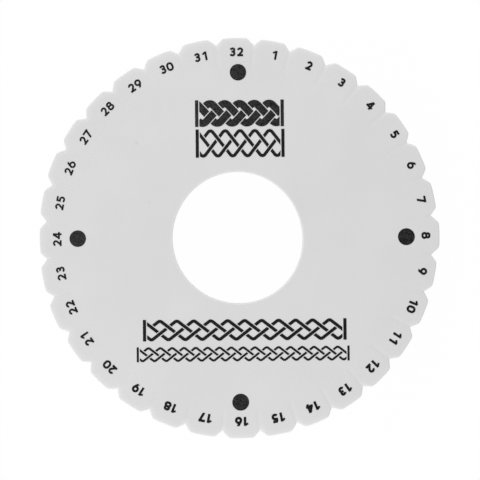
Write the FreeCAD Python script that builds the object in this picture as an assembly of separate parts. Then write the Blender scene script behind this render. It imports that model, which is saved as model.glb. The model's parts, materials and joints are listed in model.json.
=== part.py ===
import FreeCAD, Part
import math
import os

from FreeCAD import Rotation, Vector

# A kumihimo disk: one slab of closed-cell foam, die-cut to shape and screen printed on one face.
# Millimetres. The origin is the centre of the underside, +Z points out of the printed face and
# +Y points to the tab numbered 32. The numbers run clockwise, seen from +Z.

# Slab
OUTER_RADIUS = 54.0
THICKNESS = 10.0
HOLE_RADIUS = 17.65

# Tabs round the rim, a V notch between each pair, and a slit inwards from the point of each V
TAB_COUNT = 32
NOTCH_MOUTH = 3.94
NOTCH_POINT_RADIUS = 52.13
SLIT_ROOT_RADIUS = 45.5
SLIT_WIDTH = 0.2

# The notches' common centre, a little off the outline's
NOTCH_SHIFT = Vector(-0.31, 0.10, 0)

# Print: it sits a little off the slab's centre, turned and bowed, as hand printing leaves it
INK_THICKNESS = 0.05
PRINT_SHIFT = Vector(0.86, 0.20, 0)
PRINT_TURN = 0.44
PRINT_BOW = -0.56

# The ink's edges spread by up to this much more or less, most on this side of the disk. The
# numbers spread by up to a further amount at the top and bottom of the print, and as much less at
# its sides.
PRINT_SPREAD = 0.036
SPREAD_SIDE = 140.0
UPRIGHT_SPREAD = 0.02

# Numbers, one on each tab, with their tops to the rim
NUMBER_RADIUS = 49.8
DIGIT_HEIGHT = 2.42
DIGIT_STROKE = 0.58
DIGIT_ADVANCE = 2.05

# The numbers stand a little off their even places, as hand printing leaves them. All are slipped
# clockwise by the same amount, and waves round the ring move them outwards and clockwise: each wave
# has how often it rises in a turn, its height, and the clock angle of a crest. A few numbers have a
# nudge of their own, outwards and clockwise.
NUMBER_SLIP = -0.10
OUTWARD_WAVES = ((1, 0.13, 77), (2, 0.06, -39), (3, 0.11, 39))
CLOCKWISE_WAVES = ((2, 0.34, 58), (3, 0.12, 2))
NUMBER_NUDGES = {
    1: (0.15, 0.20),
    5: (0.0, 0.35),
    7: (-0.20, 0.0),
    20: (0.30, 0.25),
    21: (0.25, 0.30),
    24: (0.0, -0.30),
    26: (0.0, 0.30),
    28: (0.15, 0.0),
    32: (0.20, -0.25),
}

# Dots, one inside each quarter number, each set a little outwards and clockwise in its turn
DOT_RADIUS = 2.25
DOT_CENTRE_RADIUS = 44.45
DOT_OFFSETS = {8: (0.09, 0.34), 16: (0.18, 0.15), 24: (-0.23, -0.08), 32: (0.03, -0.10)}

# Plaits: length, height, strand width, waves, and the place of the middle on the print
PLAITS = {
    "upper_plait_bold": (24.0, 7.2, 2.0, 2, Vector(0, 33.4, 0)),
    "upper_plait_fine": (24.0, 7.6, 0.86, 2, Vector(0, 25.3, 0)),
    "lower_plait_bold": (55.0, 5.8, 0.86, 4, Vector(0.8, -25.1, 0)),
    "lower_plait_fine": (57.5, 4.0, 0.58, 6, Vector(0.4, -31.6, 0)),
}
PLAIT_GAP = 0.25
PLAIT_INNER_BEND = 0.35
PLAIT_END_BAR = 0.9

UP = Vector(0, 0, 1)
TAB_PITCH = 360.0 / TAB_COUNT
QUARTER_TURN = 90.0

# Digits as pen strokes in a box 1 high whose middle is at x = 0, drawn for this pen. A bar runs
# from its first point to its second, and a bow has a centre, a radius, and its two ends in
# degrees, counterclockwise.
PEN = DIGIT_STROKE / DIGIT_HEIGHT
LOW = PEN / 2
HIGH = 1 - LOW
OVAL = 0.28
UPPER_BOWL = 0.172
LOWER_BOWL = (1 - PEN) / 2 - UPPER_BOWL
WAIST = LOW + 2 * LOWER_BOWL
RING = 0.265
HOOK = 0.31


def polar(radius, clock_angle):
    """The point at a radius and at an angle in degrees, clockwise from +Y."""
    angle = math.radians(clock_angle)
    return Vector(radius * math.sin(angle), radius * math.cos(angle), 0)


def notch_angle(tab):
    """The clock angle of the notch after a tab, moved along the rim by the notches' shift."""
    even = (tab + 0.5) * TAB_PITCH
    drift = NOTCH_SHIFT.dot(polar(1, even + QUARTER_TURN)) / OUTER_RADIUS
    return even + math.degrees(drift)


def notch_edges(clock_angle):
    """The edges of one notch and its slit, clockwise, and the notch's two corners."""
    outwards = polar(1, clock_angle)
    side = polar(SLIT_WIDTH / 2, clock_angle + QUARTER_TURN)
    half_mouth = math.degrees(math.asin(NOTCH_MOUTH / 2 / OUTER_RADIUS))
    near_corner = polar(OUTER_RADIUS, clock_angle - half_mouth)
    far_corner = polar(OUTER_RADIUS, clock_angle + half_mouth)
    near_point = outwards * NOTCH_POINT_RADIUS - side
    far_point = outwards * NOTCH_POINT_RADIUS + side
    near_root = outwards * SLIT_ROOT_RADIUS - side
    far_root = outwards * SLIT_ROOT_RADIUS + side
    root_end = outwards * (SLIT_ROOT_RADIUS - SLIT_WIDTH / 2)
    edges = [
        Part.LineSegment(near_corner, near_point).toShape(),
        Part.LineSegment(near_point, near_root).toShape(),
        Part.Arc(near_root, root_end, far_root).toShape(),
        Part.LineSegment(far_root, far_point).toShape(),
        Part.LineSegment(far_point, far_corner).toShape(),
    ]
    return edges, near_corner, far_corner


def foam_disk():
    """The slab: 32 tabs round the rim, cut apart by notches and slits, and the centre hole."""
    edges = []
    for tab in range(1, TAB_COUNT + 1):
        notch, near_corner, _ = notch_edges(notch_angle(tab))
        _, _, last_corner = notch_edges(notch_angle(tab - 1))
        tab_end = Part.Arc(last_corner, polar(OUTER_RADIUS, tab * TAB_PITCH), near_corner)
        edges.append(tab_end.toShape())
        edges.extend(notch)
    blank = Part.Face(Part.Wire(edges)).extrude(UP * THICKNESS)
    return blank.cut(Part.makeCylinder(HOLE_RADIUS, THICKNESS))


def polygon(points):
    """A flat face with straight sides."""
    return Part.Face(Part.makePolygon(points + points[:1]))


def bar(start, end, width):
    """A straight pen stroke with square ends."""
    along = end - start
    side = UP.cross(along).normalize() * (width / 2)
    return polygon([start - side, end - side, end + side, start + side])


def bow(centre, radius, first, last, width):
    """A round pen stroke with square ends."""
    def point(reach, angle):
        turn = math.radians(angle)
        return centre + Vector(math.cos(turn), math.sin(turn), 0) * reach

    middle = (first + last) / 2
    inner = radius - width / 2
    outer = radius + width / 2
    edges = [
        Part.Arc(point(outer, first), point(outer, middle), point(outer, last)).toShape(),
        Part.LineSegment(point(outer, last), point(inner, last)).toShape(),
        Part.Arc(point(inner, last), point(inner, middle), point(inner, first)).toShape(),
        Part.LineSegment(point(inner, first), point(outer, first)).toShape(),
    ]
    return Part.Face(Part.Wire(edges))


def tangent_bar(centre, radius, angle, length, pen):
    """A bar that carries on from a bow, clockwise, where the bow has reached an angle."""
    turn = math.radians(angle)
    start = centre + Vector(math.cos(turn), math.sin(turn), 0) * radius
    return bar(start, start + Vector(math.sin(turn), -math.cos(turn), 0) * length, pen)


def ring(centre_y, half_width, radius, pen):
    """A closed bowl: two half circles, joined by bars when it is wider than it is high."""
    strokes = [
        bow(Vector(half_width, centre_y, 0), radius, -90, 90, pen),
        bow(Vector(-half_width, centre_y, 0), radius, 90, 270, pen),
    ]
    if half_width:
        for edge_y in (centre_y - radius, centre_y + radius):
            left = Vector(-half_width, edge_y, 0)
            strokes.append(bar(left, Vector(half_width, edge_y, 0), pen))
    return strokes


def digit_zero(pen):
    """An upright oval."""
    sides = [
        bar(Vector(x, LOW + OVAL, 0), Vector(x, HIGH - OVAL, 0), pen) for x in (-OVAL, OVAL)
    ]
    return sides + [
        bow(Vector(0, HIGH - OVAL, 0), OVAL, 0, 180, pen),
        bow(Vector(0, LOW + OVAL, 0), OVAL, 180, 360, pen),
    ]


def digit_one(pen):
    """A stem with a flag and no foot."""
    stem = 0.13
    return [
        bar(Vector(stem, 0, 0), Vector(stem, 1, 0), pen),
        bar(Vector(stem, 0.95, 0), Vector(-0.22, 0.71, 0), 0.8 * pen),
    ]


def digit_two(pen):
    """A round top, a slope and a flat foot."""
    radius = 0.225
    top = Vector(0, HIGH - radius, 0)
    return [
        bow(top, radius, -40, 168, pen),
        tangent_bar(top, radius, -40, 0.56, pen),
        bar(Vector(-0.325, LOW, 0), Vector(0.325, LOW, 0), pen),
    ]


def digit_three(pen):
    """Two bowls, open to the left."""
    return [
        bow(Vector(0.03, HIGH - UPPER_BOWL, 0), UPPER_BOWL, -90, 90, pen),
        bow(Vector(0.03, HIGH - HOOK, 0), HOOK, 90, 143, pen),
        bar(Vector(-0.12, WAIST, 0), Vector(0.03, WAIST, 0), pen),
        bow(Vector(0, LOW + LOWER_BOWL, 0), LOWER_BOWL, -90, 90, pen),
        bow(Vector(0, LOW + HOOK, 0), HOOK, 218, 270, pen),
    ]


def digit_four(pen):
    """A slope, a crossbar and a stem."""
    stem = 0.15
    crossbar = 0.31
    return [
        bar(Vector(stem, 0, 0), Vector(stem, 1, 0), pen),
        bar(Vector(-0.40, crossbar, 0), Vector(0.40, crossbar, 0), pen),
        bar(Vector(-0.25, 0.33, 0), Vector(0.17, 1.05, 0), pen),
    ]


def digit_five(pen):
    """A flag, a short stroke down and an open bowl."""
    bowl = 0.235
    middle = Vector(-0.01, LOW + bowl, 0)
    return [
        bar(Vector(-0.24, HIGH, 0), Vector(0.28, HIGH, 0), pen),
        bar(Vector(-0.17, HIGH, 0), Vector(-0.19, 0.47, 0), pen),
        bow(middle, bowl, -90, 125, pen),
        bow(Vector(-0.01, LOW + HOOK, 0), HOOK, 220, 270, pen),
    ]


def digit_six(pen):
    """A round bowl with a straight stem that leans to the right."""
    centre = Vector(0, LOW + RING, 0)
    return ring(centre.y, 0, RING, pen) + [tangent_bar(centre, RING, 150, 0.7, pen)]


def digit_seven(pen):
    """A flag and a slope."""
    return [
        bar(Vector(-0.37, HIGH, 0), Vector(0.37, HIGH, 0), pen),
        bar(Vector(0.25, 0.94, 0), Vector(-0.12, -0.06, 0), pen),
    ]


def digit_eight(pen):
    """Two round bowls, the smaller above."""
    upper = ring(HIGH - UPPER_BOWL, 0.05, UPPER_BOWL, pen)
    return upper + ring(LOW + LOWER_BOWL, 0.06, LOWER_BOWL, pen)


def digit_nine(pen):
    """The six, upside down."""
    middle = Vector(0, 0.5, 0)
    turned = digit_six(pen)
    for stroke in turned:
        stroke.rotate(middle, UP, 180)
    return turned


DIGITS = (
    digit_zero,
    digit_one,
    digit_two,
    digit_three,
    digit_four,
    digit_five,
    digit_six,
    digit_seven,
    digit_eight,
    digit_nine,
)


def inked(faces, trim):
    """Solids of ink, one for each separate patch of the faces inside the trim."""
    merged = faces[0].multiFuse(faces[1:]) if len(faces) > 1 else faces[0]
    flat = merged.common(trim).removeSplitter()
    return [face.extrude(UP * INK_THICKNESS) for face in flat.Faces]


def waved(waves, clock_angle):
    """The sum of some waves round the ring, at a clock angle."""
    heights = [
        height * math.cos(math.radians(count * (clock_angle - crest)))
        for count, height, crest in waves
    ]
    return sum(heights)


def spread(clock_angle):
    """How far the ink's edges stand outside their drawn place, on one side of the disk."""
    return waved([(1, PRINT_SPREAD, SPREAD_SIDE)], clock_angle)


def number_spread(clock_angle):
    """How far the edges of a number's ink stand outside their drawn place."""
    return spread(clock_angle) + waved([(2, UPRIGHT_SPREAD, 0)], clock_angle)


def digit(value, growth):
    """One digit at its real height, with the middle of its box at the origin."""
    foot = -growth / DIGIT_HEIGHT
    box = polygon(
        [Vector(-1, foot, 0), Vector(1, foot, 0), Vector(1, 1 - foot, 0), Vector(-1, 1 - foot, 0)]
    )
    strokes = DIGITS[value](PEN - 2 * foot)
    merged = strokes[0].multiFuse(strokes[1:]).common(box).removeSplitter()
    merged.translate(Vector(0, -0.5, 0))
    merged.scale(DIGIT_HEIGHT)
    return merged.Faces[0].extrude(UP * INK_THICKNESS)


def printed(shape, middle, clock_angle):
    """The shape moved to its middle on the print, upright there after the turn."""
    place = Rotation(UP, -PRINT_TURN).multVec(middle)
    place.x += PRINT_BOW * (middle.y / NUMBER_RADIUS) ** 2
    shape.rotate(Vector(), UP, -clock_angle - PRINT_TURN)
    shape.translate(place + PRINT_SHIFT + UP * THICKNESS)
    return shape


def offset_place(radius, clock_angle, offset):
    """The place at a radius and a clock angle, moved outwards and clockwise."""
    outwards, clockwise = offset
    along_rim = polar(clockwise, clock_angle + QUARTER_TURN)
    return polar(radius + outwards, clock_angle) + along_rim


def number_offset(value):
    """How far a number stands outwards and clockwise of its even place."""
    clock_angle = value * TAB_PITCH
    outwards, clockwise = NUMBER_NUDGES.get(value, (0, 0))
    outwards += waved(OUTWARD_WAVES, clock_angle)
    clockwise += waved(CLOCKWISE_WAVES, clock_angle) + NUMBER_SLIP
    return outwards, clockwise


def number(value):
    """The digits of one tab's number, side by side."""
    clock_angle = value * TAB_PITCH
    digits = []
    for column, character in enumerate(str(value)):
        shape = digit(int(character), number_spread(clock_angle))
        first = -(len(str(value)) - 1) / 2
        shape.translate(Vector((first + column) * DIGIT_ADVANCE, 0, 0))
        digits.append(shape)
    place = offset_place(NUMBER_RADIUS, clock_angle, number_offset(value))
    return printed(Part.Compound(digits), place, clock_angle)


def dot(value):
    """The round mark inside one of the quarter numbers."""
    clock_angle = value * TAB_PITCH
    mark = Part.makeCylinder(DOT_RADIUS + spread(clock_angle), INK_THICKNESS)
    return printed(mark, offset_place(DOT_CENTRE_RADIUS, clock_angle, DOT_OFFSETS[value]), 0)


def strand_patch(wave, reach, width):
    """
    One patch of a strand, as a row of faces: it comes out from under a strand, goes round the
    plait's edge, over the next strand, and ends where it dives under a third.
    """
    bend = PLAIT_INNER_BEND + width / 2
    span = Vector(wave / 2, 2 * (reach - bend), 0)
    slope = math.atan2(span.y, span.x) + math.asin(2 * bend / span.Length)
    rise = Vector(math.cos(slope), math.sin(slope), 0)
    fall = Vector(math.cos(slope), -math.sin(slope), 0)
    centre = Vector(0, reach - bend, 0)
    degrees = math.degrees(slope)
    left = centre + Vector(-math.sin(slope), math.cos(slope), 0) * bend
    right = centre + Vector(math.sin(slope), math.cos(slope), 0) * bend
    margin = width / 2 + PLAIT_GAP
    under = math.tan(slope) * wave / 12

    def cut_run(start, along, crossing, over):
        """A run of the strand whose end is parallel to the strand that covers it."""
        normal = Vector(-over.y, over.x, 0)
        if normal.dot(start - crossing) < 0:
            normal = normal * -1
        side = UP.cross(along) * (width / 2)
        points = []
        for edge in (start - side, start + side):
            distance = (normal.dot(crossing - edge) + margin) / normal.dot(along)
            points.append(edge + along * distance)
        return polygon([start - side, points[0], points[1], start + side])

    return [
        cut_run(left, rise * -1, Vector(-wave / 6, under, 0), fall),
        bow(centre, bend, QUARTER_TURN - degrees, QUARTER_TURN + degrees, width),
        cut_run(right, fall, Vector(wave / 3, -under, 0), rise),
    ]


def plait(length, height, width, waves, middle):
    """A plait of three strands, cut square at both ends and closed there by a bar."""
    wave = length / waves
    reach = (height - width) / 2
    half = length / 2
    end_bar = min(width, PLAIT_END_BAR)
    inner_half = half - end_bar - PLAIT_GAP
    trim = polygon(
        [
            Vector(-inner_half, -height, 0),
            Vector(inner_half, -height, 0),
            Vector(inner_half, height, 0),
            Vector(-inner_half, height, 0),
        ]
    )
    solids = []
    for index in range(-1, 6 * waves + 2):
        faces = strand_patch(wave, reach, width)
        for face in faces:
            if index % 2:
                face.rotate(Vector(), Vector(1, 0, 0), 180)
            face.translate(Vector(-half + index * wave / 6, 0, 0))
        solids += inked(faces, trim)
    for end in (-1, 1):
        x = end * (half - end_bar / 2)
        closing_bar = bar(Vector(x, -height / 2, 0), Vector(x, height / 2, 0), end_bar)
        solids.append(closing_bar.extrude(UP * INK_THICKNESS))
    least_volume = width * width * INK_THICKNESS
    solids = [solid for solid in solids if solid.Volume > least_volume]
    return printed(Part.Compound(solids), middle, 0)


def main():
    """Write one STEP file for each node."""
    nodes = {"foam_disk": foam_disk()}
    for value in range(1, TAB_COUNT + 1):
        nodes[f"number_{value:02d}"] = number(value)
    for value in DOT_OFFSETS:
        nodes[f"dot_{value:02d}"] = dot(value)
    for name, sizes in PLAITS.items():
        nodes[name] = plait(*sizes)
    os.makedirs("parts", exist_ok=True)
    for name, shape in nodes.items():
        shape.exportStep(f"parts/{name}.step")
        print(name, len(shape.Solids), "solids, valid", shape.isValid())


main()
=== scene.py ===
"""A kumihimo disk: a die-cut slab of closed-cell foam with a screen print, in a pale studio.

The foam is one tab's sector of the slab, meshed once, repeated round the hole and flexed a little
by rule. The ink is laid on that flexed face. Metres, in the frame of the construction: +Z out of
the printed face, +Y towards the tab numbered 32, the numbers clockwise.
"""

import json
import logging
import math
from dataclasses import dataclass, field
from enum import Enum
from typing import Any

import bmesh
import bpy
import numpy as np
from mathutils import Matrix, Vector


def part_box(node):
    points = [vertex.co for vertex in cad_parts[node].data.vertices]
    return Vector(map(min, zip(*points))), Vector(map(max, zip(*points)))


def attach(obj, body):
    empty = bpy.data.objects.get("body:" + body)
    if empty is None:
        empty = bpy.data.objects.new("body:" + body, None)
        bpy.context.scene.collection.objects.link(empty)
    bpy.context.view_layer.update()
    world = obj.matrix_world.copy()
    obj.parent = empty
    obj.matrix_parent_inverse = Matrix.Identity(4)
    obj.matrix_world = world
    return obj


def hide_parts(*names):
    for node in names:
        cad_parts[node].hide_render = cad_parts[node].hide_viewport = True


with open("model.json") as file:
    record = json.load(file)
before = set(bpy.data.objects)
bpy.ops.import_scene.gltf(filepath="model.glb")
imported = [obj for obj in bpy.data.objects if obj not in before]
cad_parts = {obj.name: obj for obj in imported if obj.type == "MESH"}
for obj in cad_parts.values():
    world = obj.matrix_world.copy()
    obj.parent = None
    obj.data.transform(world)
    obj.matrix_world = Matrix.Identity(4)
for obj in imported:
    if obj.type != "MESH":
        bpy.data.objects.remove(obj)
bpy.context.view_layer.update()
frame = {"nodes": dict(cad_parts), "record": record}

LOG = logging.getLogger("kumihimo_disk")
MM = 0.001


class Role(Enum):
    """The record's material slots."""

    FOAM = "foam"
    INK = "ink"


class Step(Enum):
    """The steps of arithmetic that a node formula uses."""

    ADD = "ADD"
    SUBTRACT = "SUBTRACT"
    MULTIPLY = "MULTIPLY"
    DIVIDE = "DIVIDE"
    ABOVE = "GREATER_THAN"
    ROUND = "ROUND"
    WRAP = "FLOORED_MODULO"
    ATAN2 = "ARCTAN2"
    COSINE = "COSINE"
    ROOT = "SQRT"
    LEAST = "MINIMUM"
    MOST = "MAXIMUM"


def linear(level: float) -> float:
    """The linear value of one sRGB channel.

    Args:
        level: The channel as it looks on a screen, from 0 to 255.

    Returns:
        The same light from 0 to 1.
    """
    share = level / 255
    if share <= 0.04045:
        return share / 12.92
    return ((share + 0.055) / 1.055) ** 2.4


def paint(red: float, green: float, blue: float) -> tuple[float, float, float, float]:
    """A shader colour from three sRGB channels of 0 to 255."""
    return linear(red), linear(green), linear(blue), 1.0


class Signal:
    """A number inside a node tree, so that a formula on nodes reads like a formula."""

    def __init__(self, graph: "Graph", socket: bpy.types.NodeSocket) -> None:
        """Keeps the graph that the number belongs to and the socket that gives it."""
        self.graph = graph
        self.socket = socket

    def __add__(self, other: "Signal | float") -> "Signal":
        """This number plus another."""
        return self.graph.math(Step.ADD, self, other)

    def __sub__(self, other: "Signal | float") -> "Signal":
        """This number less another."""
        return self.graph.math(Step.SUBTRACT, self, other)

    def __mul__(self, other: "Signal | float") -> "Signal":
        """This number times another."""
        return self.graph.math(Step.MULTIPLY, self, other)

    def __truediv__(self, other: "Signal | float") -> "Signal":
        """This number over another."""
        return self.graph.math(Step.DIVIDE, self, other)

    def clamped(self) -> "Signal":
        """This number held between 0 and 1."""
        above = self.graph.math(Step.MOST, self, 0.0)
        return self.graph.math(Step.LEAST, above, 1.0)


class Graph:
    """A node tree with short ways to add nodes and join them."""

    def __init__(self, tree: bpy.types.NodeTree) -> None:
        """Clears the node tree to build in it."""
        self.tree = tree
        tree.nodes.clear()

    def feed(self, socket: bpy.types.NodeSocket, value: Any) -> None:
        """Links a signal or a socket to an input, or sets the input to a plain value.

        Args:
            socket: The input.
            value: What goes into it.
        """
        if isinstance(value, Signal):
            value = value.socket
        if isinstance(value, bpy.types.NodeSocket):
            self.tree.links.new(value, socket)
        else:
            socket.default_value = value

    def node(
        self, kind: str, inputs: dict[str | int, Any] | None = None, **settings: Any
    ) -> bpy.types.Node:
        """Adds a node.

        Args:
            kind: Blender's name for the node's type.
            inputs: What goes into each named or numbered input.
            settings: The node's own options.

        Returns:
            The new node.
        """
        made = self.tree.nodes.new(kind)
        for name, value in settings.items():
            setattr(made, name, value)
        for key, value in (inputs or {}).items():
            self.feed(made.inputs[key], value)
        return made

    def math(self, step: Step, first: Any, second: Any = 0.0) -> Signal:
        """One step of arithmetic on signals or plain numbers."""
        made = self.node("ShaderNodeMath", {0: first, 1: second}, operation=step.value)
        return Signal(self, made.outputs[0])

    def out(self, made: bpy.types.Node, name: str | int = 0) -> Signal:
        """One of a node's outputs, as a signal."""
        return Signal(self, made.outputs[name])


class GeometryTree(Graph):
    """A Geometry Nodes tree with named inputs, run once on an object and then applied."""

    SHARP_EDGE = math.radians(40)

    def __init__(self, name: str) -> None:
        """Begins the tree with its way in and its way out.

        Args:
            name: The tree's name.
        """
        super().__init__(bpy.data.node_groups.new(name, "GeometryNodeTree"))
        self.values: dict[str, Any] = {}
        self.socket("Geometry", "NodeSocketGeometry")
        self.tree.interface.new_socket(
            "Geometry", in_out="OUTPUT", socket_type="NodeSocketGeometry"
        )
        self.entry = self.node("NodeGroupInput")

    def socket(self, name: str, kind: str, value: Any = None) -> None:
        """Adds a named input.

        Args:
            name: The input's name.
            kind: Blender's name for the type of its socket.
            value: What the tree is run with there.
        """
        self.tree.interface.new_socket(name, in_out="INPUT", socket_type=kind)
        if value is not None:
            self.values[name] = value

    def number(self, name: str, value: float) -> Signal:
        """Adds a named number as an input, and gives it as a signal."""
        self.socket(name, "NodeSocketFloat", value)
        return self.out(self.entry, name)

    def whole(self, name: str, value: int) -> Signal:
        """Adds a named whole number as an input, and gives it as a signal."""
        self.socket(name, "NodeSocketInt", value)
        return self.out(self.entry, name)

    def pick(self, index: Signal, values: tuple[float, ...]) -> Signal:
        """The value in a list at a place.

        Args:
            index: The place, counted from 0.
            values: The list.

        Returns:
            The value there.
        """
        made = self.node("GeometryNodeIndexSwitch", data_type="FLOAT")
        while len(made.index_switch_items) < len(values):
            made.index_switch_items.new()
        self.feed(made.inputs["Index"], index)
        for place, value in enumerate(values):
            made.inputs[place + 1].default_value = value
        return self.out(made)

    def close(self, geometry: bpy.types.NodeSocket, material: bpy.types.Material) -> None:
        """Ends the tree in real geometry with one material, smooth but for its sharp edges.

        Args:
            geometry: The socket that gives the geometry.
            material: Its material.
        """
        self.socket("Material", "NodeSocketMaterial", material)
        sharp = self.number("Sharp edge", self.SHARP_EDGE)
        real = self.node("GeometryNodeRealizeInstances", {"Geometry": geometry})
        smooth = self.node("GeometryNodeSetShadeSmooth", {"Geometry": real.outputs[0]})
        bend = self.out(self.node("GeometryNodeInputMeshEdgeAngle"), "Unsigned Angle")
        creased = self.node(
            "GeometryNodeSetShadeSmooth",
            {
                "Geometry": smooth.outputs[0],
                "Selection": self.math(Step.ABOVE, bend, sharp),
                "Shade Smooth": False,
            },
            domain="EDGE",
        )
        dressed = self.node(
            "GeometryNodeSetMaterial",
            {"Geometry": creased.outputs[0], "Material": self.entry.outputs["Material"]},
        )
        self.node("NodeGroupOutput", {0: dressed.outputs[0]})

    def run(self, piece: bpy.types.Object) -> None:
        """Runs the tree on a piece and leaves the result as the piece's plain mesh.

        Args:
            piece: The piece.
        """
        modifier = piece.modifiers.new(self.tree.name, "NODES")
        modifier.node_group = self.tree
        for item in self.tree.interface.items_tree:
            if item.in_out == "INPUT" and item.name in self.values:
                modifier[item.identifier] = self.values[item.name]
        evaluated = piece.evaluated_get(bpy.context.evaluated_depsgraph_get())
        mesh = bpy.data.meshes.new_from_object(evaluated)
        piece.modifiers.remove(modifier)
        old = piece.data
        piece.data = mesh
        mesh.name = piece.name
        bpy.data.meshes.remove(old)


class ShaderTree(Graph):
    """A material's node tree, with the object's own coordinates in millimetres."""

    # Distances from a cell's walls, in cells, at which its hollow begins and is at its deepest.
    CELL_SLOPE = (0.02, 0.34)

    def __init__(self, name: str) -> None:
        """Begins the material with its coordinates.

        Args:
            name: The material's name.
        """
        self.material = bpy.data.materials.new(name)
        self.material.use_nodes = True
        super().__init__(self.material.node_tree)
        place = self.node("ShaderNodeTexCoord")
        self.place = self.node(
            "ShaderNodeMapping", {"Vector": place.outputs["Object"], "Scale": (1 / MM,) * 3}
        ).outputs[0]

    def noise(self, per_mm: float, detail: float, roughness: float) -> Signal:
        """Cloudy noise of 0 to 1.

        Args:
            per_mm: How many features it has to the millimetre.
            detail: How many finer layers lie over them.
            roughness: How strong the finer layers are.

        Returns:
            The noise.
        """
        made = self.node(
            "ShaderNodeTexNoise",
            {
                "Vector": self.place,
                "Scale": per_mm,
                "Detail": detail,
                "Roughness": roughness,
            },
        )
        return self.out(made)

    def cells(self, per_mm: float) -> Signal:
        """The hollows of foam cells that a cut has opened.

        Args:
            per_mm: How many cells there are to the millimetre.

        Returns:
            0 at the cells' walls and 1 in their middles.
        """
        made = self.node(
            "ShaderNodeTexVoronoi",
            {"Vector": self.place, "Scale": per_mm},
            feature="DISTANCE_TO_EDGE",
        )
        return self.between(self.out(made, "Distance"), *self.CELL_SLOPE)

    def measure(self, step: str, other: tuple[float, float, float]) -> Signal:
        """A number made of a point's place and another vector."""
        made = self.node("ShaderNodeVectorMath", {0: self.place, 1: other}, operation=step)
        return self.out(made, "Value")

    def along(self, slope: tuple[float, float, float]) -> Signal:
        """A number that grows by the slope with every millimetre right, up and out."""
        return self.measure("DOT_PRODUCT", slope)

    def near(self, spot: tuple[float, float, float], reach: float) -> Signal:
        """1 at a spot, 0 past a reach from it, and smooth between them, in millimetres."""
        return self.between(self.measure("DISTANCE", spot), reach, 0.0)

    def layer(self, name: str) -> Signal:
        """The value that the mesh holds in one of its layers."""
        return self.out(self.node("ShaderNodeAttribute", attribute_name=name), "Fac")

    def between(self, value: Signal, low: float, high: float) -> Signal:
        """A smooth step from one value to another.

        Args:
            value: The value that is looked at.
            low: Where the step begins.
            high: Where it ends.

        Returns:
            0 at the beginning, 1 at the end, and smooth between them.
        """
        made = self.node(
            "ShaderNodeMapRange",
            {"Value": value, "From Min": low, "From Max": high},
            interpolation_type="SMOOTHSTEP",
        )
        return self.out(made)

    def blend(self, share: Signal, first: Any, second: Any) -> bpy.types.NodeSocket:
        """The socket of a colour that has a share of the second colour in the first."""
        inputs = {"Factor": share, 6: first, 7: second}
        return self.node("ShaderNodeMix", inputs, data_type="RGBA").outputs[2]

    def shade(
        self, colour: bpy.types.NodeSocket, roughness: Signal, relief: Signal, gloss: float
    ) -> None:
        """Ends the tree in one principled shader.

        Args:
            colour: The colour's socket.
            roughness: How rough the surface is, from 0 to 1.
            relief: The height of the surface, in millimetres.
            gloss: The specular level, the same all over.
        """
        bump = self.node("ShaderNodeBump", {"Height": relief, "Distance": MM})
        shader = self.node(
            "ShaderNodeBsdfPrincipled",
            {
                "Base Color": colour,
                "Roughness": roughness,
                "Normal": bump.outputs[0],
                "Specular IOR Level": gloss,
            },
        )
        self.node("ShaderNodeOutputMaterial", {"Surface": shader.outputs[0]})


@dataclass(frozen=True)
class Nick:
    """A faint dent in the foam's skin with painted shade: its place in millimetres, and its
    strength, up to 1.
    """

    spot: tuple[float, float, float]
    strength: float


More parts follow.
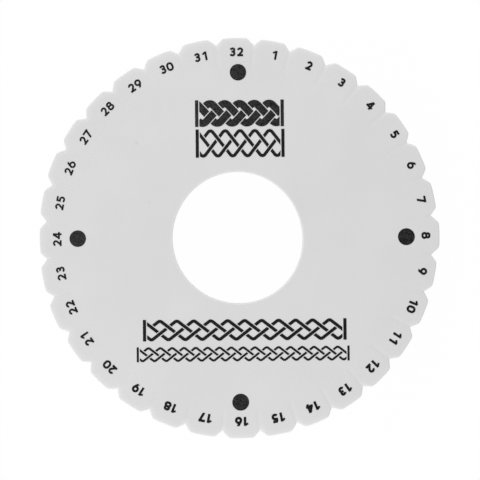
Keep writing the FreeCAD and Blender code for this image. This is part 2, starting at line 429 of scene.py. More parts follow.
@dataclass(frozen=True)
class FoamFinish:
    """Light grey closed-cell foam: a smooth skin, and open cells where the die has cut it.

    Colours are levels of 0 to 255 as a screen shows them, and lengths are in millimetres.
    """

    skin: tuple[float, float, float] = (218.5, 218.5, 218.5)
    shaded_skin: tuple[float, float, float] = (215.0, 215.4, 215.2)
    # Painted highlight: a paler tint along the rim and the hole's edge, where the rounded cut
    # edges would catch light.
    painted_highlight_skin: tuple[float, float, float] = (232.0, 232.0, 232.0)
    # Painted shade: the darker tint in the middle of each dent.
    dent_shade_skin: tuple[float, float, float] = (209.0, 209.0, 208.0)
    nicks: tuple[Nick, ...] = (Nick((-27.0, 26.0, 10.0), 1.0), Nick((-23.9, 9.9, 10.0), 0.55))
    nick_reach: float = 0.75
    nick_relief: float = 0.04
    cut: tuple[float, float, float] = (216.0, 216.0, 215.0)
    # Painted shade: the darker tint in the hollows of the open cells.
    pore_and_shade: tuple[float, float, float] = (190.0, 191.0, 189.0)
    cloud_per_mm: float = 0.045
    grain_per_mm: float = 3.2
    cloud_share: float = 0.7
    light_span: tuple[float, float] = (0.36, 0.64)
    cell_per_mm: float = 2.8
    small_cell_per_mm: float = 6.0
    large_cell_share: float = 0.7
    open_span: tuple[float, float] = (0.35, 0.65)
    skin_relief: float = 0.012
    cut_relief: float = 0.09
    skin_roughness: float = 0.78
    shaded_roughness: float = 0.86
    cut_roughness: float = 0.94
    gloss: float = 0.22

    def material(self) -> bpy.types.Material:
        """Builds the material.

        Returns:
            The material.
        """
        tree = ShaderTree("foam")
        cloud = tree.noise(self.cloud_per_mm, detail=4.0, roughness=0.6)
        grain = tree.noise(self.grain_per_mm, detail=3.0, roughness=0.6)
        mottle = (cloud * self.cloud_share + grain * (1 - self.cloud_share)).clamped()
        light = tree.between(mottle, *self.light_span)
        skin = tree.blend(light, paint(*self.shaded_skin), paint(*self.skin))
        # Painted highlight along the rim and the hole's edge.
        pinch_and_highlight = tree.layer(TabSector.HIGHLIGHT_LAYER)
        skin = tree.blend(pinch_and_highlight, skin, paint(*self.painted_highlight_skin))
        skin_height = grain * self.skin_relief
        # Each dent is a bump in the relief and a painted shade in the colour.
        for nick in self.nicks:
            dent_and_shade = tree.near(nick.spot, self.nick_reach) * nick.strength
            skin = tree.blend(dent_and_shade, skin, paint(*self.dent_shade_skin))
            skin_height = skin_height - dent_and_shade * self.nick_relief
        large = tree.cells(self.cell_per_mm) * tree.between(grain, *self.open_span)
        small = tree.cells(self.small_cell_per_mm)
        pore_and_shade = (large * self.large_cell_share + small * (1 - self.large_cell_share)).clamped()
        # The open cells sink in the relief and darken with painted shade.
        cut = tree.blend(pore_and_shade, paint(*self.cut), paint(*self.pore_and_shade))
        share = tree.layer(TabSector.CUT_LAYER)
        colour = tree.blend(share, skin, cut)
        cut_height = pore_and_shade * -self.cut_relief + grain * self.skin_relief
        relief = skin_height + (cut_height - skin_height) * share
        roughness = light * (self.skin_roughness - self.shaded_roughness) + self.shaded_roughness
        roughness = roughness * (share * -1.0 + 1.0) + share * self.cut_roughness
        tree.shade(colour, roughness, relief, self.gloss)
        return tree.material


@dataclass(frozen=True)
class InkFinish:
    """Matt black screen-print ink, a little uneven, and paler towards one side with painted sheen.

    Colours are levels of 0 to 255 as a screen shows them, and lengths are in millimetres.
    """

    name: str
    ink: tuple[float, float, float]
    thin_and_sheen_ink: tuple[float, float, float]
    bare: tuple[float, float, float] = (120.0, 121.0, 119.0)
    patch_per_mm: float = 0.9
    speck_per_mm: float = 2.4
    speck_share: float = 0.7
    thin_and_sheen_span: tuple[float, float] = (0.34, 0.68)
    bare_span: tuple[float, float] = (0.76, 0.84)
    # Painted sheen: how fast the ink pales towards one side, per millimetre.
    painted_sheen_towards: tuple[float, float, float] = (-0.0011, 0.0011, 0.0)
    relief: float = 0.010
    roughness: float = 0.66
    thin_roughness: float = 0.80
    gloss: float = 0.18

    def material(self) -> bpy.types.Material:
        """Builds the material.

        Returns:
            The material.
        """
        tree = ShaderTree(self.name)
        patch = tree.noise(self.patch_per_mm, detail=3.0, roughness=0.6)
        speck = tree.noise(self.speck_per_mm, detail=2.0, roughness=0.6)
        uneven = patch * (1 - self.speck_share) + speck * self.speck_share
        # The ink pales where it is thin at random, and towards one side with painted sheen.
        thin_and_sheen = tree.between(uneven + tree.along(self.painted_sheen_towards), *self.thin_and_sheen_span)
        covered = tree.blend(thin_and_sheen, paint(*self.ink), paint(*self.thin_and_sheen_ink))
        colour = tree.blend(tree.between(speck, *self.bare_span), covered, paint(*self.bare))
        roughness = thin_and_sheen * (self.thin_roughness - self.roughness) + self.roughness
        tree.shade(colour, roughness, speck * self.relief, self.gloss)
        return tree.material


@dataclass(frozen=True)
class RimWave:
    """A wave round a cut edge: rises in a turn, height in millimetres, clock angle of a crest."""

    rises: int
    height: float
    crest: float

    def at(self, turn: float) -> float:
        """The wave's height at a clock angle in radians."""
        return self.height * math.cos(self.rises * (turn - math.radians(self.crest)))

    def swing(self, tree: GeometryTree, turn: Signal) -> Signal:
        """The wave on nodes at a clock angle in radians, from -1 in a trough to 1 on a crest."""
        return tree.math(Step.COSINE, (turn - math.radians(self.crest)) * float(self.rises))


@dataclass(frozen=True)
class RimDrift:
    """How far tabs or notches stand off their even places, in millimetres.

    They are counted clockwise from 0, from tab 32 or from the notch after it. All of them have the
    same shift and share the waves, and a few have a further amount of their own.
    """

    start: float
    shift: float
    waves: tuple[RimWave, ...]
    own: dict[int, float]

    def amounts(self, count: int) -> tuple[float, ...]:
        """How far each of them stands off.

        Args:
            count: How many there are round the rim.

        Returns:
            The amounts, clockwise.
        """
        turns = [math.tau * (place + self.start) / count for place in range(count)]
        waved = [self.shift + sum(wave.at(turn) for wave in self.waves) for turn in turns]
        return tuple(amount + self.own.get(place, 0.0) for place, amount in enumerate(waved))


@dataclass(frozen=True)
class FoamFlex:
    """How the die and handling leave the slab a little uneven, as rules on its points."""

    tabs: int
    slit_root: float
    rim: float
    hole: float
    thickness: float
    notch_shift: tuple[float, float] = (-0.31 * MM, 0.10 * MM)
    shift_run: float = 8 * MM
    hole_shift: tuple[float, float] = (-0.17 * MM, -0.04 * MM)
    hole_waves: tuple[RimWave, ...] = (RimWave(2, 0.11, -26), RimWave(3, 0.09, 11))
    hole_run: float = 12 * MM
    tab_reach: RimDrift = RimDrift(
        start=0.0,
        shift=0.08,
        waves=(RimWave(1, 0.15, 144), RimWave(2, 0.11, -2)),
        own={
            1: -0.1, 4: 0.1, 8: 0.3, 9: -0.1, 22: 0.25,
            24: -0.25, 26: 0.3, 27: 0.2, 31: 0.15,
        },
    )
    notch_drift: RimDrift = RimDrift(
        start=0.5,
        shift=-0.02,
        waves=(RimWave(1, 0.21, 62), RimWave(2, 0.17, -56)),
        own={
            0: 0.2, 1: -0.2, 5: -0.2, 6: -0.2, 18: 0.2,
            19: 0.2, 24: 0.2, 27: -0.2, 28: -0.2, 31: 0.2,
        },
    )
    lift: float = 0.09 * MM
    lift_spread: float = 0.2
    roll: float = 0.03 * MM
    wave: float = 0.05 * MM
    wave_length: float = 28 * MM
    seed: int = 7

    def apply(self, piece: bpy.types.Object, material: bpy.types.Material, cut: bool) -> None:
        """Flexes a piece and gives it its finish.

        Args:
            piece: The piece.
            material: Its finish.
            cut: Whether it has the cut edges, which stand a little off their even places.
        """
        tree = FlexTree(self, cut)
        tree.finish(material)
        tree.run(piece)


class FlexTree(GeometryTree):
    """The Geometry Nodes tree that flexes the slab or the ink on it."""

    def __init__(self, flex: FoamFlex, cut: bool) -> None:
        """Begins the tree with the places of its points round the ring and along their tabs.

        Args:
            flex: The rules and their sizes.
            cut: Whether the mesh has the cut edges, which stand a little off their even places.
        """
        super().__init__("foam_flex")
        self.flex = flex
        self.cut = cut
        self.tabs = self.number("Tabs", float(flex.tabs))
        self.root = self.number("Slit root", flex.slit_root)
        self.rim = self.number("Rim", flex.rim)
        self.seed = self.whole("Seed", flex.seed)
        self.place = self.node("GeometryNodeInputPosition").outputs[0]
        split = self.node("ShaderNodeSeparateXYZ", {0: self.place})
        self.x, self.y, self.z = (self.out(split, axis) for axis in range(3))
        self.radius = self.math(Step.ROOT, self.x * self.x + self.y * self.y)
        self.turn = self.math(Step.ATAN2, self.x, self.y)
        step = self.turn * self.tabs / math.tau
        self.nearest = self.math(Step.ROUND, step)
        self.aside = step - self.nearest
        self.index = self.ring_place(self.nearest)
        self.along = ((self.radius - self.root) / (self.rim - self.root)).clamped()

    def ring_place(self, count: Signal) -> Signal:
        """The whole number of a tab, from 0 for the tab numbered 32."""
        wrapped = self.math(Step.WRAP, count, self.tabs)
        return self.out(self.node("FunctionNodeFloatToInt", {0: wrapped}))

    def chance(self, offset: int, low: float, high: float) -> Signal:
        """A number for each tab, the same each run.

        Args:
            offset: What sets it apart from other such numbers.
            low: The least it can be.
            high: The most it can be.

        Returns:
            The number.
        """
        made = self.node(
            "FunctionNodeRandomValue",
            {2: low, 3: high, "ID": self.index, "Seed": self.seed + float(offset)},
            data_type="FLOAT",
        )
        return self.out(made, 1)

    def rise(self) -> Signal:
        """The lift and roll of each tab, and the wave in the face.

        Returns:
            How far a point goes up.
        """
        flex = self.flex
        lift = self.number("Lift", flex.lift)
        roll = self.number("Roll", flex.roll)
        wave = self.number("Wave", flex.wave)
        wave_length = self.number("Wave length", flex.wave_length)
        thickness = self.number("Thickness", flex.thickness)
        lifted = lift * self.chance(1, 1 - flex.lift_spread, 1 + flex.lift_spread)
        rolled = roll * self.aside * self.chance(2, -1.0, 1.0)
        scale = self.math(Step.DIVIDE, 1.0, wave_length)
        cloud = self.node(
            "ShaderNodeTexNoise",
            {"Vector": self.place, "Scale": scale, "Detail": 1.0},
            noise_dimensions="3D",
        )
        ripple = (self.out(cloud, 0) - 0.5) * wave * 2.0 * self.z / thickness
        return self.along * self.along * (lifted + rolled) + ripple

    def outwards(self, hole_share: Signal) -> Signal:
        """The uneven reach of the tabs, and the hole's waves.

        Args:
            hole_share: How much of the hole's unevenness a point takes part in.

        Returns:
            How far a point goes outwards, as a share of its radius.
        """
        reaches = self.flex.tab_reach.amounts(self.flex.tabs)
        total = self.pick(self.index, reaches) * (MM * self.cut) * self.along / self.radius
        for wave in self.flex.hole_waves:
            height = self.number(f"Hole wave of {wave.rises}", wave.height * MM * self.cut)
            total = total + wave.swing(self, self.turn) * height * hole_share / self.radius
        return total

    def sideways(self) -> Signal:
        """The notches' common shift, and each one's own drift.

        Returns:
            How far a point turns clockwise, in radians.
        """
        flex = self.flex
        shift_x = self.number("Notch shift right", flex.notch_shift[0] * self.cut)
        shift_y = self.number("Notch shift up", flex.notch_shift[1] * self.cut)
        shift_run = self.number("Notch shift run", flex.shift_run)
        drifts = flex.notch_drift.amounts(flex.tabs)
        before = self.pick(self.ring_place(self.nearest - 1.0), drifts) * (self.aside * -1.0 + 0.5)
        after = self.pick(self.index, drifts) * (self.aside + 0.5)
        drift = (before + after) * (MM * self.cut)
        ramp = ((self.radius - self.root) / shift_run + 1.0).clamped()
        shift = (shift_x * self.y - shift_y * self.x) / self.radius
        return (shift + drift) / self.rim * ramp

    def finish(self, material: bpy.types.Material) -> None:
        """Moves the points and ends the tree.

        Args:
            material: The finish that the mesh gets.
        """
        hole = self.number("Hole", self.flex.hole)
        hole_x = self.number("Hole shift right", self.flex.hole_shift[0] * self.cut)
        hole_y = self.number("Hole shift up", self.flex.hole_shift[1] * self.cut)
        hole_run = self.number("Hole shift run", self.flex.hole_run)
        hole_share = ((self.radius - hole) / hole_run * -1.0 + 1.0).clamped()
        outwards, sideways = self.outwards(hole_share), self.sideways()
        moves = (
            self.x * outwards + self.y * sideways + hole_x * hole_share,
            self.y * outwards - self.x * sideways + hole_y * hole_share,
            self.rise(),
        )
        offset = self.node("ShaderNodeCombineXYZ", dict(enumerate(moves)))
        moved = self.node(
            "GeometryNodeSetPosition",
            {"Geometry": self.entry.outputs["Geometry"], "Offset": offset.outputs[0]},
        )
        self.close(moved.outputs[0], material)


@dataclass(frozen=True)
class TabSector:
    """One tab and the wedge of slab behind it, as far as the hole, centred on +Y."""

    CUT_LAYER = "cut_wall"
    # This layer holds each point's share of painted edge highlight.
    HIGHLIGHT_LAYER = "painted_edge_light"

    # Where the grid is finer: millimetres from a slit, shares of the half pitch from the corner,
    # millimetres from the slit's root, shares of the pinched edge, and degrees round an edge.
    SLIT_STEPS = (0, 0.06, 0.16, 0.32, 0.55, 0.9)
    CORNER_STEPS = (0.09, 0.04, 0, -0.05)
    ROOT_STEPS = (-1.2, -0.5, 0, 0.3, 0.8)
    PINCH_STEPS = (1, 0.75, 0.5, 0.3)
    ROUND_STEPS = (0, 15, 30, 50, 70, 90)

    tabs: int
    rim: float
    hole: float
    thickness: float
    notch_mouth: float = 3.94 * MM
    notch_point: float = 52.13 * MM
    slit_root: float = 45.5 * MM
    half_slit: float = 0.001 * MM
    slit_opening: float = 0.5 * MM  # over which a slit opens from its root
    edge_round: float = 0.30 * MM
    pinch_drop: float = 0.16 * MM
    pinch_width: float = 1.8 * MM
    # How much painted highlight the pinched rim takes, and the width of the band of painted
    # highlight at the hole's edge.
    rim_highlight_share: float = 0.5
    hole_highlight_width: float = 0.6 * MM
    hole_round: float = 0.25 * MM
    base_round: float = 0.3 * MM
    corner_round: float = 0.22 * MM
    lip_drop: float = 0.07 * MM
    lip_width: float = 0.90 * MM
    lip_run: float = 2.0 * MM  # over which a slit's lips soften from its root
    wall_hollow: float = 0.16 * MM
    slit_hollow_share: float = 0.12
    hollow_run: float = 0.4 * MM  # over which the wall deepens from a notch's point
    wall_rows: int = 9
    middle_rows: int = 12
    tab_rows: int = 10
    middle_columns: int = 5

    @property
    def half_pitch(self) -> float:
        """Half the angle from one tab to the next."""
        return math.pi / self.tabs

    @property
    def corner(self) -> float:
        """The angle from the tab's middle to its corner."""
        return self.half_pitch - math.asin(self.notch_mouth / 2 / self.rim)

    def columns(self) -> np.ndarray:
        """The columns of the sector's grid.

        Returns:
            Their places across the sector, from -1 at one side to 1 at the other.
        """
        by_slit = 1 - np.array(self.SLIT_STEPS) * MM / (self.half_pitch * self.notch_point)
        by_corner = self.corner / self.half_pitch + np.array(self.CORNER_STEPS)
        inside = np.linspace(by_corner[-1], 0, self.middle_columns)
        half = np.concatenate((by_slit, by_corner[:-1], inside))
        return np.concatenate((-half, half[-2::-1]))

    def rounding(self, radius: float) -> np.ndarray:
        """Distances from an edge that step round its curve."""
        return radius * (1 - np.cos(np.radians(self.ROUND_STEPS)))

    def rows(self) -> np.ndarray:
        """The rows of the sector's grid.

        Returns:
            Their radii on the tab's middle line, from the hole to the rim.
        """
        inner = self.hole + np.append(self.rounding(self.hole_round), self.hole_highlight_width)
        root = self.slit_root + np.array(self.ROOT_STEPS) * MM
        middle = np.linspace(inner[-1], root[0], self.middle_rows + 1)[1:]
        pinch_and_highlight = np.array(self.PINCH_STEPS) * self.pinch_width
        outer = self.rim - np.concatenate((pinch_and_highlight, self.rounding(self.edge_round)[::-1]))
        tab = np.linspace(root[-1], outer[0], self.tab_rows + 1)[1:-1]
        return np.concatenate((inner, middle, root[1:], tab, outer))

    def outline(self, angle: np.ndarray) -> np.ndarray:
        """The slab's outline, with the tab's corners eased.

        Args:
            angle: Angles from the tab's middle.

        Returns:
            The outer radius at each.
        """
        near = np.array((math.sin(self.corner), math.cos(self.corner))) * self.rim
        far = np.array((math.sin(self.half_pitch), math.cos(self.half_pitch))) * self.notch_point
        flank = far - near
        size = np.abs(angle)
        across = near[0] * flank[1] - near[1] * flank[0]
        reach = across / (np.sin(size) * flank[1] - np.cos(size) * flank[0])
        gap = (reach - self.rim) / self.corner_round
        eased = self.rim - self.corner_round * np.logaddexp(0, -gap)
        return np.where(size < self.corner / 2, self.rim, eased)

    def plan(self) -> np.ndarray:
        """The grid's points in plan.

        Returns:
            The points, row by row from the hole, and column by column clockwise.
        """
        across = self.columns() * self.half_pitch
        limit = self.outline(across)
        points = np.zeros((len(self.rows()), len(across), 2))
        for row, reach in enumerate(self.rows()):
            beyond = max(0.0, reach - self.slit_root)
            share = beyond / (self.rim - self.slit_root)
            radius = reach - beyond + share * (limit - self.slit_root)
            gap = min(1.0, beyond / self.slit_opening) * self.half_slit
            angle = across * (1 - gap / radius / self.half_pitch)
            points[row] = np.stack((radius * np.sin(angle), radius * np.cos(angle)), axis=1)
        return points

    def root_row(self) -> int:
        """The row where the slits begin."""
        return int(np.argmin(np.abs(self.rows() - self.slit_root)))

    @staticmethod
    def distance(points: np.ndarray, path: np.ndarray) -> np.ndarray:
        """The distances of points from a path in plan.

        Args:
            points: The points.
            path: The path's own points.

        Returns:
            The distance from each point to the nearest stretch of the path.
        """
        start, end = path[:-1], path[1:]
        along = end - start
        offset = points[..., None, :] - start
        share = (offset * along).sum(-1) / (along * along).sum(-1)
        nearest = start + np.clip(share, 0, 1)[..., None] * along
        return np.linalg.norm(points[..., None, :] - nearest, axis=-1).min(-1)

    def gaps(self, plan: np.ndarray) -> tuple[np.ndarray, np.ndarray, np.ndarray]:
        """The distances of the plan's points from the cut edges.

        Args:
            plan: The grid's points in plan.

        Returns:
            The distances from the rim, from the hole and from the slits.
        """
        root = self.root_row()
        slit = np.minimum(
            self.distance(plan, plan[root:, 0]), self.distance(plan, plan[root:, -1])
        )
        return self.distance(plan, plan[-1]), np.linalg.norm(plan, axis=-1) - self.hole, slit

    def heights(self, plan: np.ndarray) -> tuple[np.ndarray, np.ndarray, np.ndarray]:
        """The two faces over the plan, rounded and pinched at every cut edge.

        Args:
            plan: The grid's points in plan.

        Returns:
            The upper face's heights, the lower face's, and how much painted edge highlight each
            point takes.
        """
        rim_gap, hole_gap, slit_gap = self.gaps(plan)

        def drop(gap: np.ndarray, radius: float) -> np.ndarray:
            """How far a round of that radius takes the face down, that near its edge."""
            left = radius - np.clip(gap, 0, radius)
            return radius - np.sqrt(radius**2 - left**2)

        # The rim's pinch lowers the face and, with the band at the hole, sets the painted edge
        # highlight.
        rim_pinch = np.clip(1 - rim_gap / self.pinch_width, 0, 1) ** 2
        hole_highlight = np.clip(1 - hole_gap / self.hole_highlight_width, 0, 1)
        reach = np.linalg.norm(plan, axis=-1)
        run = np.clip((reach - self.slit_root) / self.lip_run, 0, 1)
        near = np.clip(slit_gap / self.lip_width, 0, 1)
        lip = (1 + np.cos(math.pi * near)) / 2 * self.lip_drop * run
        rim_drop = drop(rim_gap, self.edge_round) + rim_pinch * self.pinch_drop
        top = self.thickness - np.maximum(rim_drop, drop(hole_gap, self.hole_round)) - lip
        bottom = drop(np.minimum(rim_gap, hole_gap), self.base_round) + lip
        return top, bottom, np.maximum(rim_pinch * self.rim_highlight_share, hole_highlight)

    def mesh(self) -> bpy.types.Mesh:
        """Builds the sector's mesh: two faces, and the walls of its cut edges.

        Returns:
            The mesh.
        """
        plan = self.plan()
        rows, columns = plan.shape[:2]
        top, bottom, pinch_and_highlight = self.heights(plan)
        points = [np.dstack((plan, top)).reshape(-1, 3), np.dstack((plan, bottom)).reshape(-1, 3)]
        upper = np.arange(rows * columns).reshape(rows, columns)
        lower = upper + rows * columns
        faces = [self.quads(upper), self.quads(lower)[:, ::-1]]
        root = self.root_row()
        rim_path = [(row, 0) for row in range(root, rows)]
        rim_path += [(rows - 1, column) for column in range(1, columns)]
        rim_path += [(row, columns - 1) for row in range(rows - 2, root - 1, -1)]
        hole_path = [(0, column) for column in range(columns - 1, -1, -1)]
        count = 2 * upper.size
        for path, fixed_ends in ((rim_path, True), (hole_path, False)):
            index = tuple(np.array(path).T)
            wall = self.wall(plan[index], top[index], bottom[index], fixed_ends)
            inner = np.arange(count, count + wall.size // 3).reshape(wall.shape[:2])
            count += inner.size
            points.append(wall.reshape(-1, 3))
            faces.append(self.quads(np.vstack((upper[index], inner, lower[index]))))
        mesh = bpy.data.meshes.new("tab_sector")
        mesh.from_pydata(np.concatenate(points).tolist(), [], np.concatenate(faces).tolist())
        skin_faces = 2 * len(faces[0])
        cut = np.arange(len(mesh.polygons)) >= skin_faces
        # Each point's share of painted edge highlight; the walls' points take all of it.
        highlight_by_point = np.concatenate((pinch_and_highlight.ravel(), pinch_and_highlight.ravel(), np.ones(count - 2 * upper.size)))
        for name, domain, values in (
            (self.CUT_LAYER, "FACE", cut.astype(float)),
            (self.HIGHLIGHT_LAYER, "POINT", highlight_by_point),
        ):
            mesh.attributes.new(name, "FLOAT", domain).data.foreach_set("value", values)
        mesh.validate()
        return mesh

    def wall(
        self, path: np.ndarray, top: np.ndarray, bottom: np.ndarray, fixed_ends: bool
    ) -> np.ndarray:
        """The points of a cut wall between the two faces, drawn in at mid height.

        Args:
            path: The edge in plan, with the foam on its right.
            top: The height of the upper edge at each point.
            bottom: The height of the lower edge at each point.
            fixed_ends: Whether the path's ends stay where they are, as at a slit's root.

        Returns:
            The points between the edges, row by row downwards.
        """
        steps = np.linalg.norm(np.diff(path, axis=0), axis=1)
        along = np.gradient(path, np.append(0, np.cumsum(steps)), axis=0)
        along /= np.linalg.norm(along, axis=1)[:, None]
        inwards = np.stack((along[:, 1], -along[:, 0]), axis=1)
        hollow = np.full(len(path), self.wall_hollow)
        if fixed_ends:
            radius = np.linalg.norm(path, axis=1)
            open_share = (radius - self.notch_point) / self.hollow_run
            open_share = np.clip(open_share, self.slit_hollow_share, 1)
            root_share = np.clip((radius - self.slit_root) / self.lip_run, 0, 1)
            hollow = hollow * open_share * root_share
        share = (np.arange(1, self.wall_rows) / self.wall_rows)[:, None]
        depth = 4 * share * (1 - share) * hollow
        plan = path[None] + inwards[None] * depth[..., None]
        height = top + (bottom - top) * share
        return np.dstack((plan, height))

    @staticmethod
    def quads(grid: np.ndarray) -> np.ndarray:
        """The faces of a grid of point numbers, turned so that a top face looks up."""
        corners = (grid[:-1, :-1], grid[:-1, 1:], grid[1:, 1:], grid[1:, :-1])
        return np.stack([corner.ravel() for corner in corners], axis=1)


@dataclass
class FoamSlab:
    """The slab: the tab's sector repeated round the hole, then flexed."""

    sector: TabSector
    flex: FoamFlex
    finish: FoamFinish = field(default_factory=FoamFinish)
    weld: float = 0.0002 * MM

    def ring_tree(self, material: bpy.types.Material) -> GeometryTree:
        """Builds the tree that repeats the sector and welds it where no slit parts neighbours.

        Args:
            material: The finish of the whole.

        Returns:
            The tree, ready to run.
        """
        tree = GeometryTree("tab_ring")
        tabs = tree.whole("Tabs", self.sector.tabs)
        pitch = tree.number("Pitch", 2 * self.sector.half_pitch)
        weld = tree.number("Weld", self.weld)
        spots = tree.node("GeometryNodePoints", {"Count": tabs})
        index = tree.out(tree.node("GeometryNodeInputIndex"))
        turn = tree.node("ShaderNodeCombineXYZ", {2: index * pitch * -1.0})
        copies = tree.node(
            "GeometryNodeInstanceOnPoints",
            {
                "Points": spots.outputs[0],
                "Instance": tree.entry.outputs["Geometry"],
                "Rotation": turn.outputs[0],
            },
        )
        real = tree.node("GeometryNodeRealizeInstances", {"Geometry": copies.outputs[0]})
        whole = tree.node(
            "GeometryNodeMergeByDistance", {"Geometry": real.outputs[0], "Distance": weld}
        )
        tree.close(whole.outputs[0], material)
        return tree

    def build(self) -> bpy.types.Object:
        """Makes the slab and puts it in the scene in the place of the plain one.

        Returns:
            The piece.
        """
        material = self.finish.material()
        slab = bpy.data.objects.new("foam_slab", self.sector.mesh())
        bpy.context.scene.collection.objects.link(slab)
        self.ring_tree(material).run(slab)
        self.flex.apply(slab, material, cut=True)
        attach(slab, "root")
        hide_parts("foam_disk")
        return slab


@dataclass
class PrintedInk:
    """One part of the print: the ink of some marks, laid on the flexed face."""

    name: str
    marks: tuple[str, ...]
    flex: FoamFlex
    weld: float = 0.0001 * MM

    def mesh(self) -> bpy.types.Mesh:
        """Joins copies of the marks' shapes, with their doubled points merged.

        Returns:
            The mesh.
        """
        shape = bmesh.new()
        for mark in self.marks:
            shape.from_mesh(frame["nodes"][mark].data)
        bmesh.ops.remove_doubles(shape, verts=shape.verts, dist=self.weld)
        mesh = bpy.data.meshes.new(self.name)
        shape.to_mesh(mesh)
        shape.free()
        return mesh

    def build(self, material: bpy.types.Material) -> bpy.types.Object:
        """Makes the ink and puts it in the scene in the place of the plain marks.

        Args:
            material: The ink's finish.

        Returns:
            The piece.
        """
        ink = bpy.data.objects.new(self.name, self.mesh())
        bpy.context.scene.collection.objects.link(ink)
        self.flex.apply(ink, material, cut=False)
        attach(ink, "root")
        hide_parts(*self.marks)
        return ink


@dataclass(frozen=True)
class Softbox:
    """A soft round lamp beside the disk, which looks at its middle."""

    name: str
    bearing: float
    power: float
    reach: float = 0.33
    height: float = 0.13
    width: float = 0.25

    def build(self) -> None:
        """Makes the lamp and puts it in its place."""
        lamp = bpy.data.lights.new(self.name, "AREA")
        lamp.shape = "DISK"
        lamp.size = self.width
        lamp.energy = self.power
        box = bpy.data.objects.new(self.name, lamp)
        bpy.context.scene.collection.objects.link(box)
        turn = math.radians(self.bearing)
        place = Vector((math.cos(turn) * self.reach, math.sin(turn) * self.reach, self.height))
        box.location = place
        box.rotation_euler = (-place).to_track_quat("-Z", "Y").to_euler()


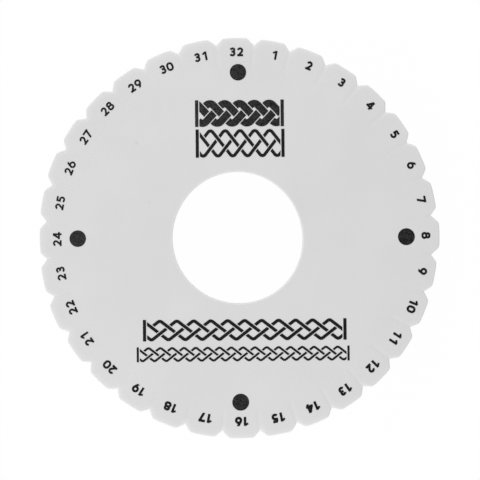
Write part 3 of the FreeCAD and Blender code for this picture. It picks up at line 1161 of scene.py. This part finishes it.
@dataclass(frozen=True)
class Studio:
    """A white sweep of floor, an even sky, two soft lamps and a camera overhead."""

    floor_side: float = 6.0
    floor_drop: float = 0.05 * MM
    floor_white: float = 0.96
    floor_glow: float = 0.975
    sky: float = 0.725
    lamps: tuple[Softbox, ...] = (
        Softbox("back_lamp", bearing=101.0, power=0.50),
        Softbox("front_lamp", bearing=250.0, power=0.55),
    )
    camera_height: float = 6.0
    sensor: float = 36.0
    picture_side: float = 480.0
    disk_radius_in_picture: float = 199.9
    disk_place_in_picture: tuple[float, float] = (238.3, 237.7)
    disk_roll: float = math.radians(0.95)

    def floor(self) -> None:
        """Makes a white floor that stays white in the picture and keeps the disk's shadow."""
        half = self.floor_side / 2
        mesh = bpy.data.meshes.new("floor")
        spread = ((-half, -half), (half, -half), (half, half), (-half, half))
        mesh.from_pydata([(x, y, -self.floor_drop) for x, y in spread], [], [(0, 1, 2, 3)])
        floor = bpy.data.objects.new("floor", mesh)
        bpy.context.scene.collection.objects.link(floor)
        material = bpy.data.materials.new("floor")
        material.use_nodes = True
        graph = Graph(material.node_tree)
        white = (self.floor_white,) * 3 + (1.0,)
        matt = graph.node("ShaderNodeBsdfDiffuse", {"Color": white})
        glow = graph.node("ShaderNodeEmission", {"Color": (1.0, 1.0, 1.0, 1.0)})
        ray = graph.node("ShaderNodeLightPath")
        seen = graph.math(
            Step.MOST, graph.out(ray, "Is Camera Ray"), graph.out(ray, "Is Glossy Ray")
        )
        both = graph.node(
            "ShaderNodeMixShader",
            {0: seen * self.floor_glow, 1: matt.outputs[0], 2: glow.outputs[0]},
        )
        graph.node("ShaderNodeOutputMaterial", {"Surface": both.outputs[0]})
        mesh.materials.append(material)

    def sky_light(self) -> None:
        """Makes even white light from all round, white where the camera sees it."""
        world = bpy.data.worlds.new("studio")
        world.use_nodes = True
        graph = Graph(world.node_tree)
        ray = graph.node("ShaderNodeLightPath")
        strength = graph.out(ray, "Is Camera Ray") * (1 - self.sky) + self.sky
        light = graph.node(
            "ShaderNodeBackground", {"Color": (1.0, 1.0, 1.0, 1.0), "Strength": strength}
        )
        graph.node("ShaderNodeOutputWorld", {"Surface": light.outputs[0]})
        bpy.context.scene.world = world

    def camera(self, disk_radius: float, face_height: float) -> None:
        """Makes a camera straight above the disk, turned and placed as for the photograph.

        Args:
            disk_radius: The disk's outer radius.
            face_height: The height of its printed face.
        """
        pixel = disk_radius / self.disk_radius_in_picture
        middle = self.picture_side / 2
        right = (middle - self.disk_place_in_picture[0]) * pixel
        up = (self.disk_place_in_picture[1] - middle) * pixel
        turn = -self.disk_roll
        data = bpy.data.cameras.new("overhead")
        data.sensor_width = self.sensor
        reach = self.camera_height - face_height
        data.lens = self.sensor * reach / (self.picture_side * pixel)
        camera = bpy.data.objects.new("overhead", data)
        bpy.context.scene.collection.objects.link(camera)
        camera.location = (
            right * math.cos(turn) - up * math.sin(turn),
            right * math.sin(turn) + up * math.cos(turn),
            self.camera_height,
        )
        camera.rotation_euler = (0, 0, turn)
        bpy.context.scene.camera = camera

    def build(self, disk_radius: float, face_height: float) -> None:
        """Sets the studio up round the disk.

        Args:
            disk_radius: The disk's outer radius.
            face_height: The height of its printed face.
        """
        self.camera(disk_radius, face_height)
        self.floor()
        self.sky_light()
        for lamp in self.lamps:
            lamp.build()
        bpy.context.scene.view_settings.view_transform = "Standard"


BROAD_INK = InkFinish(
    "broad_ink",
    ink=(0.0, 1.0, 0.5),
    thin_and_sheen_ink=(55.0, 56.5, 55.5),
    # Its painted sheen pales it mostly towards the left.
    painted_sheen_towards=(-0.0009, 0.0002, 0.0),
)
NARROW_INK = InkFinish("narrow_ink", ink=(4.0, 4.0, 4.0), thin_and_sheen_ink=(30.0, 31.0, 30.0))


def marks(start: str) -> tuple[str, ...]:
    """The names of the frame's nodes that begin with a word, in order."""
    return tuple(sorted(name for name in frame["nodes"] if name.startswith(start)))


def main() -> None:
    """Builds the disk and its studio, and reports each piece."""
    logging.basicConfig(level=logging.INFO, format="%(name)s: %(message)s")
    low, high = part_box("foam_disk")
    numbers = marks("number_")
    mounts = {mount["name"]: mount for mount in frame["record"]["mounts"]}
    hole = mounts["centre_hole"]["dims"]["r_mm"] * MM
    sector = TabSector(tabs=len(numbers), rim=high.x, hole=hole, thickness=high.z - low.z)
    flex = FoamFlex(sector.tabs, sector.slit_root, sector.rim, hole, sector.thickness)
    Studio().build(sector.rim, high.z)
    slab = FoamSlab(sector, flex).build()
    LOG.info("%s: %d faces", slab.name, len(slab.data.polygons))
    broad, narrow = BROAD_INK.material(), NARROW_INK.material()
    parts = {"number_ink": (numbers, narrow), "dot_ink": (marks("dot_"), broad)}
    for plait in marks("upper_") + marks("lower_"):
        parts[f"{plait}_ink"] = ((plait,), broad if plait == "upper_plait_bold" else narrow)
    for name, (nodes, finish) in parts.items():
        piece = PrintedInk(name, nodes, flex).build(finish)
        LOG.info("%s: %d faces, for %d marks", piece.name, len(piece.data.polygons), len(nodes))


if __name__ == "__main__":
    main()
